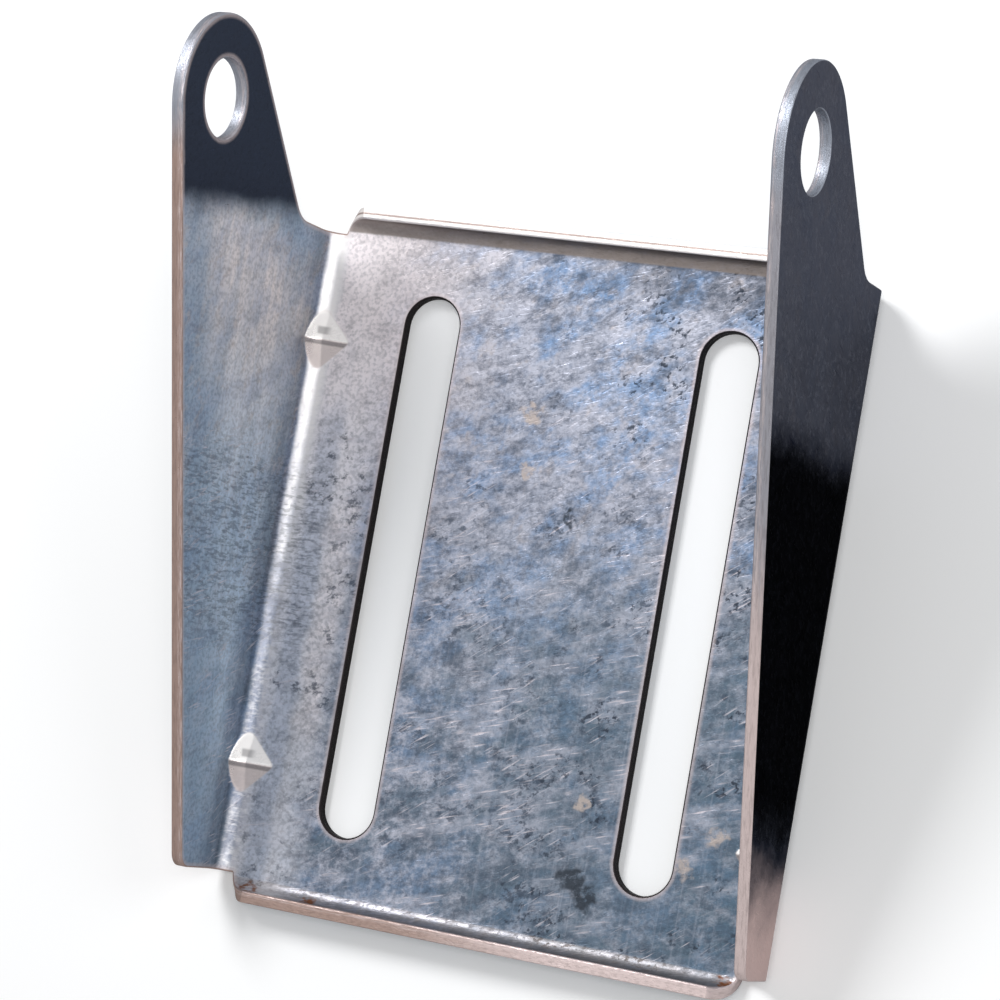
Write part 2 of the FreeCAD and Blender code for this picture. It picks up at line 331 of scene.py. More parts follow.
def tab_rows(blank, inset):
    """Heights q of the tab's rows."""
    neck = blank.half_height + blank.neck_r - (blank.neck_r + inset) * math.sin(blank.back)
    hole_r = blank.hole_d / 2 + inset
    leave = blank.shaft_q + (blank.tab_r - inset) * math.sin(blank.back)
    return runs(
        (blank.half_height - inset, 8, "first"), (neck, 6, "even"), (blank.shaft_q - hole_r, 16, "first"),
        (blank.shaft_q, 16, "last"), (blank.shaft_q + hole_r, 5, "even"), (leave, 12, "last"),
        (blank.shaft_q + blank.tab_r - inset, 0, "even"),
    )


def grid(q, columns):
    """A patch: the columns' places across it, and the q of their rows, as two arrays of one shape."""
    return columns, np.repeat(q[:, None], columns.shape[1], 1)


def patches(blank, inset):
    """The right half of the blank as grids of (p, q) whose sides are its outline moved in by inset."""
    q = web_rows(blank, inset)
    half = blank.half_height
    centre = blank.slot_spacing / 2
    slot = blank.slot_half(q, inset)
    calm = np.full_like(q, blank.half_inside - blank.gusset_web_leg - CALM_ACROSS)
    side = blank.lip_end(np.maximum(np.abs(q), half), inset)
    side[LIP_ROWS:-LIP_ROWS] = blank.fold_p - inset
    middle = spread((np.zeros_like(q), 16), (centre - slot, 0))
    outer = spread((centre + slot, 9), (calm, 20), (side, 0))

    # Side fold and ear, between the ends of the folds
    ear_q = q[LIP_ROWS:-LIP_ROWS]
    ones = np.ones_like(ear_q)
    to_p = blank.fold_p + blank.fold_arc - blank.side_outer_r
    free = blank.free_edge(ear_q, inset)
    top = blank.free_edge(np.array([half - inset]), inset)[0]
    share = (blank.shaft_standoff - blank.neck_n) / (top - blank.neck_n)
    seam = blank.neck_n + (free - blank.neck_n) * share
    ear = spread(
        ((blank.fold_p - inset) * ones, 1), (blank.fold_p * ones, 16),
        ((blank.fold_p + blank.fold_arc) * ones, 8), ((to_p + blank.neck_n) * ones, 22),
        (to_p + seam, 10), (to_p + free, 0),
    )

    # Tab, below and above the shaft hole
    tab_q = tab_rows(blank, inset)
    hole = blank.hole_half(tab_q, inset)
    low = spread((to_p + blank.back_edge(tab_q, inset), 22), (to_p + blank.shaft_standoff - hole, 0))
    high = spread((to_p + blank.shaft_standoff + hole, 10), (to_p + blank.free_edge(tab_q, inset), 0))
    return [grid(q, middle), grid(q, outer), grid(ear_q, ear), grid(tab_q, low), grid(tab_q, high)]


def flatten(grids):
    """Both halves of the blank as one list of (p, q): the right half's grids, then their mirror images."""
    right = np.concatenate([np.stack([p.ravel(), q.ravel()], -1) for p, q in grids])
    return np.concatenate([right, right * [-1, 1]])


def grid_faces(grids):
    """Quads of all grids, those of the mirrored half turned round so that both face the front."""
    quads = []
    start = 0
    for p, _ in grids:
        index = start + np.arange(p.size).reshape(p.shape)
        quad = np.stack([index[:-1, :-1], index[:-1, 1:], index[1:, 1:], index[1:, :-1]], -1)
        quads.append(quad.reshape(-1, 4))
        start += p.size
    right = np.concatenate(quads)
    return np.concatenate([right, right[:, ::-1] + start])


# How softly a gusset's facets meet in its ridge and run out on the sheet, in millimetres
RIDGE_BLEND = 0.4
FOOT_BLEND = 0.2

# Room in millimetres past a gusset's point and past its web leg in which the sheet is compared with it
GUSSET_ROOM_UP = 2
GUSSET_ROOM_ACROSS = 4

# A facet that runs nearly along the way inward is never reached, and counts as far below the sheet
LEAST_LEAN = 0.05
FAR_BELOW = -1e3


def facet_height(base, inward, ridge_point, along, tip):
    """Distance from base, going inward, to the facet through the ridge and a tip."""
    normal = np.cross(along, tip - ridge_point)
    normal /= np.linalg.norm(normal)
    lean = inward @ normal
    missed = np.abs(lean) < LEAST_LEAN
    distance = (ridge_point - base) @ normal / np.where(missed, LEAST_LEAN, lean)
    return np.where(missed, FAR_BELOW, distance)


def soft_min(a, b, blend):
    """The smaller of a and b, with a hyperbola in place of the crease where they are about the same."""
    return 0.5 * (a + b - np.sqrt((a - b) ** 2 + blend ** 2))


def soft_positive(a, blend):
    """Zero where a is below -blend, a itself where it is above blend, and a parabola between."""
    middle = (a + blend) ** 2 / (4 * blend)
    return np.where(a > blend, a, np.where(a < -blend, 0, middle))


def gusset_lift(blank, points, inward, outside):
    """How far the gussets push the sheet inwards: on each, the lower of two facets that meet in a ridge.

    The ridge runs from the ear to the web, and each facet goes through it and a tip sunk a little into the
    bend. The dent outside has the same facets, moved out by the wall that the punch leaves.
    """
    sink = blank.sheet / 8
    lift = np.zeros(len(points))
    for side in (-1, 1):
        ear_end = np.array([0, 0, blank.sheet + blank.gusset_ear_leg])
        web_end = np.array([blank.gusset_web_leg, 0, blank.sheet])
        along = (web_end - ear_end) / np.linalg.norm(web_end - ear_end)
        outward = np.array([along[2], 0, -along[0]])
        bend_centre = np.array([blank.side_bend_r, 0, blank.side_outer_r])
        mirror = np.array([-side, 1, 1])
        for middle in (-blank.gusset_spacing / 2, blank.gusset_spacing / 2):
            place = np.array([side * blank.half_inside, middle, 0])
            shift = blank.gusset_wall * outside
            radius = blank.side_outer_r if outside else blank.side_bend_r
            ridge = place + (ear_end + outward * shift) * mirror
            tips = [
                place + (bend_centre + outward * (radius + sink)) * mirror + [0, way, 0]
                for way in (-blank.gusset_half_length, blank.gusset_half_length)
            ]
            heights = [facet_height(points, inward, ridge, along * mirror, tip) for tip in tips]
            near = np.abs(points[:, 1] - middle) < blank.gusset_half_length + GUSSET_ROOM_UP
            near &= np.abs(points[:, 0] - place[0]) < blank.gusset_web_leg + GUSSET_ROOM_ACROSS
            near &= points[:, 2] < blank.side_outer_r + blank.gusset_web_leg
            lower = soft_min(heights[0], heights[1], RIDGE_BLEND)
            lift += np.where(near, soft_positive(lower, FOOT_BLEND), 0)
    return lift


def unit(vectors):
    """The vectors, each made one long."""
    return vectors / np.maximum(1e-12, np.linalg.norm(vectors, axis=1))[:, None]


def vertex_normals(points, faces):
    """Unit normals: each vertex adds up the cross products of its faces' diagonals."""
    cross = np.cross(points[faces[:, 2]] - points[faces[:, 0]], points[faces[:, 3]] - points[faces[:, 1]])
    total = np.zeros_like(points)
    for corner in range(4):
        for axis in range(3):
            total[:, axis] += np.bincount(faces[:, corner], cross[:, axis], len(points))
    return unit(total)


def rim_outward(points, inward, start, end):
    """Direction out of the sheet at its cut edge: edge vector cross sheet normal, over both edges."""
    cross = np.cross(points[end] - points[start], inward[start] + inward[end])
    total = [
        np.bincount(start, part, len(points)) + np.bincount(end, part, len(points)) for part in cross.T
    ]
    return unit(np.stack(total, -1))


def merged(faces, inverse):
    """Faces on merged vertices: quads that keep four corners, and triangles where two corners met."""
    faces = inverse[faces]
    same = faces == np.roll(faces, -1, 1)
    count = same.sum(1)
    quads = faces[(count == 0) & (faces[:, 0] != faces[:, 2]) & (faces[:, 1] != faces[:, 3])]
    pinched = faces[count == 1]
    drop = same[count == 1].argmax(1)
    keep = (drop[:, None] + np.arange(1, 4)) % 4
    return quads, np.take_along_axis(pinched, keep, 1)


def boundary_edges(quads, triangles, count):
    """Directed edges that only one face uses."""
    edges = np.concatenate([
        np.stack([faces[:, i], faces[:, (i + 1) % faces.shape[1]]], -1)
        for faces in (quads, triangles)
        for i in range(faces.shape[1])
    ])
    forward = edges[:, 0] * count + edges[:, 1]
    backward = edges[:, 1] * count + edges[:, 0]
    return edges[~np.isin(forward, backward)]


def rim_profile(blank, arc_steps):
    """Inset, height and turn of each ring between front and back: a quarter circle down and one back in."""
    angles = np.linspace(0, math.pi / 2, arc_steps + 1)
    front_r = blank.front_rim_r
    back_r = blank.back_rim_r
    down = [
        (front_r * (1 - math.sin(a)), blank.sheet - front_r * (1 - math.cos(a)), a) for a in angles[1:]
    ]
    back_in = [
        (back_r * (1 - math.sin(a)), back_r * (1 - math.cos(a)), math.pi - a) for a in angles[:0:-1]
    ]
    return down + back_in


def bracket_surface(blank, arc_steps):
    """Closed surface of the bracket: front, rounded rim and back.

    Front and back are the blank's grids, folded at the sheet's two faces. The rim is a profile carried
    round the whole outline: a quarter circle from the front, the cut wall, and a small quarter circle to
    the back. Each ring of it is the outline of the grids at that inset, folded at that height.
    """
    start = patches(blank, blank.front_rim_r)
    flat = flatten(start)
    _, first, inverse = np.unique(np.round(flat, 4), axis=0, return_index=True, return_inverse=True)
    quads, triangles = merged(grid_faces(start), inverse.ravel())
    rim = boundary_edges(quads, triangles, len(first))
    loop = np.unique(rim)
    place = np.full(len(first), -1)
    place[loop] = np.arange(len(loop))

    def blank_at(inset):
        return flatten(patches(blank, inset))[first]

    def face_side(inset, height, outside):
        pq = blank_at(inset)
        points, inward = blank.fold(pq[:, 0], pq[:, 1], height)
        lift = gusset_lift(blank, points, inward, outside)
        return pq, points + inward * lift[:, None], lift

    front_pq, front, front_lift = face_side(blank.front_rim_r, blank.sheet, 0)
    back_pq, back, back_lift = face_side(blank.back_rim_r, 0.0, 1)
    fours = np.concatenate([quads, triangles[:, [0, 1, 2, 2]]])
    front_normals = vertex_normals(front, fours)
    back_normals = -vertex_normals(back, fours)

    profile = rim_profile(blank, arc_steps)
    a, b = place[rim[:, 0]], place[rim[:, 1]]
    rings, ring_normals, ring_pq = [], [], []
    for inset, height, angle in profile:
        pq = blank_at(inset)[loop]
        points, inward = blank.fold(pq[:, 0], pq[:, 1], height)
        outward = rim_outward(points, inward, a, b)
        rings.append(points)
        ring_pq.append(pq)
        ring_normals.append(inward * math.cos(angle) + outward * math.sin(angle))

    points = np.concatenate([front, back] + rings)
    normals = np.concatenate([front_normals, back_normals] + ring_normals)
    pq = np.concatenate([front_pq, back_pq] + ring_pq)

    # Depth is 0 on the front, 0.5 to 1.5 across the cut edge and 2 on the back
    count = len(front)
    across = [np.full(len(loop), 1.5 - height / blank.sheet) for _, height, _ in profile]
    depth = np.concatenate([np.zeros(count), np.full(count, 2.0)] + across)

    chain = [2 * count + k * len(loop) + np.arange(len(loop)) for k in range(len(rings))]
    chain = [loop] + chain + [loop + count]
    rim_quads = [np.stack([near[b], near[a], far[a], far[b]], -1) for near, far in zip(chain, chain[1:])]
    faces = np.concatenate([quads, quads[:, ::-1] + count] + rim_quads)
    corners = np.concatenate([triangles, triangles[:, ::-1] + count])
    marks = {
        "depth": depth,
        "edge_gap": edge_distance(pq, blank_at(0.0)[loop]),
        "pressed": np.concatenate([front_lift, back_lift, np.zeros(len(loop) * len(rings))]),
    }
    return points, normals, pq, marks, faces.tolist() + corners.tolist()


def edge_distance(pq, outline):
    """Distance of each point of the blank from its outline's nearest point, in parts to save memory."""
    nearest = np.full(len(pq), np.inf)
    for part in np.array_split(outline, max(1, len(outline) // 100)):
        gap = np.hypot(pq[:, None, 0] - part[None, :, 0], pq[:, None, 1] - part[None, :, 1])
        nearest = np.minimum(nearest, gap.min(1))
    return nearest


def node(tree, kind, inputs=(), **settings):
    """Adds a node with its settings, and sets or links its inputs: {input: value, or a socket to link}."""
    made = tree.nodes.new(kind)
    for name, value in settings.items():
        setattr(made, name, value)
    for name, value in dict(inputs).items():
        if isinstance(value, bpy.types.NodeSocket):
            tree.links.new(value, made.inputs[name])
        else:
            made.inputs[name].default_value = value
    return made


MIX_FACTOR, MIX_A, MIX_B, MIX_RESULT = 0, 6, 7, 2

# How far apart in the noise the sheet's two sides lie, and two patterns, in millimetres
SIDES_APART = 60
PATTERNS_APART = SIDES_APART / 7


def sheet_sockets(tree):
    """Where a point lies on the blank and on the folded sheet, in millimetres, as sockets.

    depth runs through the sheet: 0 on the front, 0.5 to 1.5 across a cut edge and 2 on the back. The front
    and the back get patterns of their own, because depth also moves place along its third axis.
    """
    uv = node(tree, "ShaderNodeUVMap", uv_map="blank").outputs["UV"]
    blank_mm = node(tree, "ShaderNodeVectorMath", {0: uv, 1: [1 / MM] * 3}, operation="MULTIPLY")
    split = node(tree, "ShaderNodeSeparateXYZ", {0: blank_mm.outputs[0]})
    across = split.outputs["X"]
    up = split.outputs["Y"]
    depth = node(tree, "ShaderNodeAttribute", attribute_name="depth").outputs["Fac"]
    third = node(tree, "ShaderNodeMath", {0: depth, 1: SIDES_APART}, operation="MULTIPLY").outputs[0]
    return {
        "place": node(tree, "ShaderNodeCombineXYZ", {"X": across, "Y": up, "Z": third}).outputs[0],
        "across": across,
        "up": up,
        "out": node(tree, "ShaderNodeMath", {0: across}, operation="ABSOLUTE").outputs[0],
        "depth": depth,
        "gap": node(tree, "ShaderNodeAttribute", attribute_name="edge_gap").outputs["Fac"],
        "pressed": node(tree, "ShaderNodeAttribute", attribute_name="pressed").outputs["Fac"],
    }


# Name, grain length, width and turn, detail and roughness of the noise, and where in it the pattern
# starts and is full. Lengths are in millimetres and turns in degrees. Real grit and rolling lines are
# finer than a pixel of the render, so grit and rolled are drawn as coarse as they need to show.
PATTERNS = (
    ("light", 7.0, 5.5, 20, 4, 0.80, 0.40, 0.74),
    ("dark", 6.5, 4.2, 18, 4, 0.82, 0.57, 0.28),
    ("sheen_and_die_band", 24.0, 17.0, 60, 2, 0.60, 0.40, 0.66),
    ("blue", 15.0, 10.0, 35, 3, 0.64, 0.43, 0.63),
    ("teal", 22.0, 13.0, 10, 3, 0.62, 0.40, 0.66),
    ("cluster", 13.0, 9.0, 0, 2, 0.60, 0.49, 0.62),
    ("speck", 1.5, 1.1, 40, 2, 0.60, 0.54, 0.66),
    ("scratch", 5.0, 0.50, 17, 1, 0.50, 0.56, 0.76),
    ("crossing", 6.0, 0.45, 38, 1, 0.50, 0.60, 0.78),
    ("drag", 14.0, 4.5, 15, 2, 0.62, 0.48, 0.70),
    ("rolled", 0.9, 60.0, 0, 2, 0.60, 0.50, 0.74),
    ("drawn", 4.5, 70.0, 0, 3, 0.66, 0.34, 0.68),
    ("press", 2.6, 0.6, 2, 2, 0.50, 0.48, 0.62),
    ("grit", 0.9, 0.9, 0, 1, 0.50, 0.42, 0.66),
    ("streak", 9.0, 1.4, 90, 2, 0.60, 0.44, 0.68),
    ("blot", 3.0, 2.4, 25, 4, 0.68, 0.34, 0.54),
    ("warm", 5.0, 3.6, 50, 3, 0.72, 0.50, 0.72),
    ("net", 2.4, 1.9, 15, 3, 0.70, 0.50, 0.34),
)


def plating_patterns(tree, place):
    """Patterns of the plating, as sockets that go from 0 where there is nothing to 1 where it is full."""
    patterns = {}
    for name, grain_length, grain_width, turn, detail, roughness, start, full in PATTERNS:
        turned = node(tree, "ShaderNodeMapping", {
            "Vector": place,
            "Location": (0, 0, len(patterns) * PATTERNS_APART),
            "Rotation": (0, 0, math.radians(turn)),
            "Scale": (grain_length, grain_width, grain_length),
        }, vector_type="TEXTURE")
        noise = node(tree, "ShaderNodeTexNoise", {
            "Vector": turned.outputs[0], "Scale": 1, "Detail": detail, "Roughness": roughness,
        })
        ramp = node(tree, "ShaderNodeMapRange", {
            "Value": noise.outputs["Fac"], "From Min": start, "From Max": full,
        }, interpolation_type="SMOOTHSTEP", clamp=False)
        patterns[name] = ramp.outputs["Result"]
    return patterns


# The dull plating of a tab ends on a line that drops by this much for each millimetre further out
TAB_BORDER_DROP = 0.16

# Size in millimetres of the waves in the masks' borders
BORDER_WAVE = 9


def sheet_masks(tree, blank, at):
    """Masks over the folded sheet, each rising smoothly from 0 at one value to 1 at another.

    Values are millimetres on the blank, except for those of depth. A border wanders by up to its
    raggedness to either side. Masks that several others make up are their product.
    """
    wave = node(tree, "ShaderNodeTexNoise", {"Vector": at["place"], "Scale": 1 / BORDER_WAVE, "Detail": 4})
    wave = node(tree, "ShaderNodeMath", {0: wave.outputs["Fac"], 1: 0.5}, operation="SUBTRACT").outputs[0]
    tab_foot = node(tree, "ShaderNodeMath", {
        0: at["out"], 1: TAB_BORDER_DROP, 2: at["up"],
    }, operation="MULTIPLY_ADD")
    way = node(tree, "ShaderNodeMath", {0: at["up"]}, operation="SIGN").outputs[0]
    from_ridge = node(tree, "ShaderNodeMath", {
        0: way, 1: -blank.gusset_spacing / 2, 2: at["up"],
    }, operation="MULTIPLY_ADD")
    at = at | {"tab_foot": tab_foot.outputs[0], "from_ridge": from_ridge.outputs[0]}
    fold_end = blank.fold_p + blank.fold_arc
    half = blank.half_height
    slot_end = blank.slot_length / 2 + 4
    masks = {}
    for name, value, raggedness, start, full in (
        # Through the sheet
        ("front", "depth", 0, 0.45, 0.1),
        ("back", "depth", 0, 1.55, 1.9),
        ("past_front", "depth", 0, 0.1, 0.4),
        ("before_back", "depth", 0, 1.9, 1.6),
        ("burnish_and_highlight", "depth", 0, 1.0, 0.85),
        ("line_above", "depth", 0, 0.86, 0.92),
        ("line_below", "depth", 0, 1.10, 1.02),
        # Web, folds and ears
        ("past_fold", "out", 0, fold_end - 3, fold_end),
        ("past_bend", "out", 0, blank.fold_p + 2, blank.fold_p + 4),
        ("not_ear", "out", 0, blank.fold_p + 1, blank.fold_p),
        ("fold_lit", "out", 1.6, blank.fold_p - 2.2, blank.fold_p + 0.2),
        ("fold_unlit", "out", 1.2, blank.fold_p + 5.2, blank.fold_p + 3.4),
        ("fold_deep", "out", 1, blank.fold_p + 4.4, blank.fold_p + 6.4),
        ("fold_clear", "out", 4, fold_end + 9, fold_end),
        ("fold_bright", "up", 10, -20, 45),
        # Regions of the web
        ("left", "across", 14, -14, -50),
        ("right", "across", 12, -26, 24),
        ("left_side", "across", 4, -42, -54),
        ("right_side", "across", 6, 40, 54),
        ("left_high", "up", 14, -70, 20),
        ("top", "up", 14, -10, 66),
        ("upper", "up", 14, -40, 40),
        ("lower", "up", 14, 26, -20),
        ("worn", "up", 20, 46, 22),
        ("under_lip", "up", 5, 63, 72),
        ("top_lip", "up", 0, half + 0.4, half + 1.2),
        ("bottom_lip", "up", 0, -half - 0.4, -half - 1.2),
        # Regions of the ears
        ("tab", "tab_foot", 2, half + 10, half + 18),
        ("on_tab", "up", 0, half, half + 12),
        ("upper_ear", "up", 4, 0, 58),
        ("under_tab", "up", 6, 78, 66),
        ("lower_ear", "up", 6, 56, 20),
        ("by_free_edge", "gap", 0, 22, 4),
        ("low_end", "up", 8, -46, -68),
        ("black_top", "up", 4, 42, 29),
        ("black_foot", "up", 8, -62, -34),
        # Edges and slots
        ("by_edge", "gap", 0, 1.5, 0.6),
        ("grey_rim", "up", 10, -20, 20),
        ("before_fold", "out", 0, blank.half_inside - 4, blank.half_inside - 5),
        ("slot_low", "up", 0, -slot_end - 1, -slot_end),
        ("slot_high", "up", 0, slot_end + 1, slot_end),
        # Marks of the die beside the left fold
        ("press_low", "up", 6, -30, -16),
        ("press_high", "up", 6, 26, 14),
        ("press_side", "across", 2, -52, -57),
        ("die_left", "across", 3, -55.0, -52.0),
        ("die_right", "across", 3, -45.5, -49.0),
        ("die_top", "up", 10, 26, 8),
        ("die_foot", "up", 10, -48, -30),
        ("groove_left", "across", 2, -61.5, -59.0),
        ("groove_right", "across", 2, -53.0, -56.0),
        # Gussets
        ("pressed", "pressed", 0, 0.02, 0.2),
        ("upper_facet", "from_ridge", 0, -0.25, 0.25),
        ("ridge_top", "from_ridge", 0, -0.1, -0.4),
        ("ridge_bottom", "from_ridge", 0, -1.5, -1.0),
        ("dash_bottom", "from_ridge", 0, 0.9, 1.5),
        ("dash_top", "from_ridge", 0, 3.4, 2.6),
        ("dash_web", "out", 0, blank.fold_p - 1.8, blank.fold_p),
        ("dash_ear", "out", 0, blank.fold_p + 4.6, blank.fold_p + 3.2),
    ):
        place = at[value]
        if raggedness:
            place = node(tree, "ShaderNodeMath", {
                0: wave, 1: 2 * raggedness, 2: place,
            }, operation="MULTIPLY_ADD").outputs[0]
        ramp = node(tree, "ShaderNodeMapRange", {
            "Value": place, "From Min": start, "From Max": full,
        }, interpolation_type="SMOOTHSTEP", clamp=False)
        masks[name] = ramp.outputs["Result"]
    for name, parts in (
        ("outside", ("past_bend", "back")),
        ("ear", ("past_fold", "front")),
        ("foot", ("low_end", "outside")),
        ("pale_side", ("left_side", "not_ear", "front")),
        ("rim", ("past_front", "before_back")),
        ("slot_wall_shade", ("rim", "before_fold", "slot_low", "slot_high")),
        ("fold", ("fold_lit", "fold_unlit", "front")),
        ("gusset", ("pressed", "front")),
        ("ridge", ("ridge_top", "ridge_bottom", "gusset")),
        ("dash", ("dash_top", "dash_bottom", "dash_web", "dash_ear", "gusset")),
        ("die_band", ("die_left", "die_right", "die_top", "die_foot", "front")),
        ("die_lines", ("press_side", "press_low", "press_high", "front")),
        ("groove", ("groove_left", "groove_right", "worn", "front")),
    ):
        product = masks[parts[0]]
        for part in parts[1:]:
            product = node(tree, "ShaderNodeMath", {
                0: product, 1: masks[part],
            }, operation="MULTIPLY").outputs[0]
        masks[name] = product
    return masks


# Places of single marks on the front, in millimetres on the blank: across, up, radius
MARKS = {
    "cream": (
        (-8, 39, 3.4), (-7, 26, 2.2), (20, -45.4, 2.4), (52, -46.6, 3.0), (46, -54.6, 2.6), (38, 60, 2.2),
    ),
    "smudge": ((20.5, -62, 4.5), (24, -65, 4.0), (5, 17, 2.6)),
    "rust": ((-57, -80, 3.5), (-41, -80.5, 2.5), (60, -79, 3.0)),
}

# Size in millimetres of the waves in a mark's outline, and how far they carry it
MARK_WAVE = 2.5
MARK_WAVE_REACH = 6


def mark_masks(tree, place):
    """Ragged round marks: full inside half the radius and gone at the radius."""
    wave = node(tree, "ShaderNodeTexNoise", {"Vector": place, "Scale": 1 / MARK_WAVE, "Detail": 2})
    wave = node(tree, "ShaderNodeVectorMath", {
        0: wave.outputs["Color"], 1: [-0.5] * 3,
    }, operation="ADD").outputs[0]
    wave = node(tree, "ShaderNodeVectorMath", {0: wave, "Scale": MARK_WAVE_REACH}, operation="SCALE")
    moved = node(tree, "ShaderNodeVectorMath", {0: place, 1: wave.outputs[0]}, operation="ADD").outputs[0]
    masks = {}
    for name, places in MARKS.items():
        cover = 0.0
        for across, up, radius in places:
            away = node(tree, "ShaderNodeVectorMath", {0: moved, 1: (across, up, 0)}, operation="DISTANCE")
            mark = node(tree, "ShaderNodeMapRange", {
                "Value": away.outputs["Value"], "From Min": radius, "From Max": radius / 2,
            }, interpolation_type="SMOOTHSTEP", clamp=False)
            cover = node(tree, "ShaderNodeMath", {
                0: cover, 1: mark.outputs["Result"],
            }, operation="MAXIMUM").outputs[0]
        masks[name] = cover
    return masks


def painted(tree, base, coats):
    """Lays coats of colour over a base, in order. A coat shows at its strength where its masks overlap."""
    for tint, strength, *masks in coats:
        cover = strength
        for mask in masks:
            cover = node(tree, "ShaderNodeMath", {0: cover, 1: mask}, operation="MULTIPLY").outputs[0]
        mixed = node(tree, "ShaderNodeMix", {
            MIX_FACTOR: cover, MIX_A: base, MIX_B: (*tint, 1),
        }, data_type="RGBA")
        base = mixed.outputs[MIX_RESULT]
    return base


def weighted_sum(tree, start, *terms):
    """Adds up start and each term's weight times its pattern."""
    total = start
    for weight, pattern in terms:
        total = node(tree, "ShaderNodeMath", {
            0: pattern, 1: weight, 2: total,
        }, operation="MULTIPLY_ADD").outputs[0]
    return total


def plating_coats(tint, pattern, mask):
    """The zinc: painted light paler above, painted shade grey green below and beside the right ear, grey blue
    ears with a painted dark reflection beside the fold, blue patches, and spangle over all of it.
    """
    return (
        # Painted shade, grey green, darker towards the bottom of the web
        (tint.teal, 0.45, mask["lower"]),
        (tint.teal, 0.60, pattern["teal"], mask["lower"]),
        # Painted light, paler towards the top of the web
        (tint.light_grain, 0.45, mask["upper"]),
        (tint.light_grain, 0.40, pattern["sheen_and_die_band"], mask["upper"]),
        # Painted shade beside the right ear
        (tint.teal, 0.60, mask["right_side"], mask["front"]),
        (tint.ear, 0.90, mask["ear"]),
        (tint.ear_warm, 0.80, mask["ear"], mask["upper_ear"], mask["under_tab"]),
        (tint.ear_deep, 0.42, mask["ear"], pattern["drawn"]),
        # Painted dark reflection on the ear just above the fold
        (tint.ear_deep, 0.50, mask["ear"], mask["fold_clear"], mask["lower_ear"]),
        (tint.ear_deep, 0.75, mask["ear"], mask["by_free_edge"]),
        # Painted dark reflection in the fold
        (tint.dark_grain, 0.50, mask["fold_deep"], mask["front"], mask["fold_clear"]),
        (tint.blue, 0.80, pattern["blue"], mask["upper"], mask["not_ear"]),
        (tint.blue, 0.30, pattern["blue"]),
        (tint.cream, 0.45, pattern["warm"], mask["upper"]),
        (tint.light_grain, 0.28, pattern["light"]),
        (tint.light_grain, 0.78, pattern["light"], mask["not_ear"]),
        (tint.dark_grain, 0.28, pattern["dark"]),
        (tint.dark_grain, 0.52, pattern["dark"], mask["not_ear"]),
    )


def painted_light_and_die_coats(tint, pattern, mask):
    """Painted light beside the left fold, a painted sheen on the upper left and painted shade on the lower
    right, with the bands that the die has left.
    """
    return (
        # Painted light beside the left fold, stronger towards the top
        (tint.side_painted_light, 0.60, mask["pale_side"]),
        (tint.side_painted_light, 0.75, mask["pale_side"], mask["left_high"]),
        # Painted sheen on the upper left of the web
        (tint.sheen_and_die_band, 0.84, mask["left"], mask["top"], mask["front"], mask["not_ear"]),
        (tint.blue, 0.30, mask["groove"]),
        (tint.sheen_and_die_band, 0.60, mask["die_band"], pattern["light"]),
        (tint.sheen_and_die_band, 0.40, mask["die_band"]),
        (tint.dark_grain, 0.30, pattern["dark"], mask["not_ear"]),
        # Painted shade, grey green, on the lower right of the web
        (tint.teal, 0.42, mask["lower"], mask["right"], mask["not_ear"]),
    )


def wear_coats(tint, pattern, mask):
    """Rolling lines, tumbling scratches, dark pits and nets, dried oil and smudges."""
    return (
        (tint.dark_grain, 0.26, pattern["grit"]),
        (tint.light_grain, 0.14, pattern["rolled"]),
        (tint.light_grain, 0.28, pattern["drag"], mask["worn"], mask["not_ear"]),
        (tint.dark_grain, 0.70, pattern["net"], pattern["cluster"], mask["worn"], mask["not_ear"]),
        (tint.dark_grain, 0.30, pattern["net"], mask["worn"], mask["not_ear"]),
        (tint.scratch, 0.90, pattern["scratch"], pattern["drag"], mask["worn"]),
        (tint.scratch, 0.60, pattern["crossing"], pattern["cluster"], mask["worn"]),
        (tint.speck, 0.90, pattern["speck"], pattern["cluster"], mask["right"], mask["not_ear"]),
        # Darker blotches on the web just under the top lip, on the right
        (tint.speck, 0.55, pattern["blot"], mask["under_lip"], mask["right"], mask["front"]),
        (tint.cream, 0.70, mask["cream"], mask["front"], pattern["blot"]),
        (tint.smudge, 0.95, mask["smudge"], mask["front"], pattern["blot"]),
    )


def fold_and_gusset_coats(tint, pattern, mask):
    """Painted highlights on the folds and gussets, with a line of painted shade and a dash of painted dark
    reflection on each gusset, and the die's press marks beside the left fold.
    """
    return (
        # Painted highlight along the folds, brightest towards the top
        (tint.light_grain, 0.55, mask["fold"]),
        (tint.burnish_and_highlight, 0.40, mask["fold"], pattern["light"]),
        (tint.burnish_and_highlight, 0.30, mask["fold"], pattern["press"]),
        (tint.burnish_and_highlight, 0.80, mask["fold"], mask["fold_bright"]),
        (tint.dark_grain, 0.45, mask["die_lines"], pattern["press"]),
        # Gussets: pale beige, partly a painted highlight, a painted highlight on the upper facet, painted
        # shade under the ridge and a dash of painted dark reflection
        (tint.under_ridge, 0.85, mask["gusset"]),
        (tint.burnish_and_highlight, 0.95, mask["gusset"], mask["upper_facet"]),
        (tint.ridge_shade_and_reflection, 0.60, mask["ridge"]),
        (tint.ridge_shade_and_reflection, 0.50, mask["dash"]),
    )


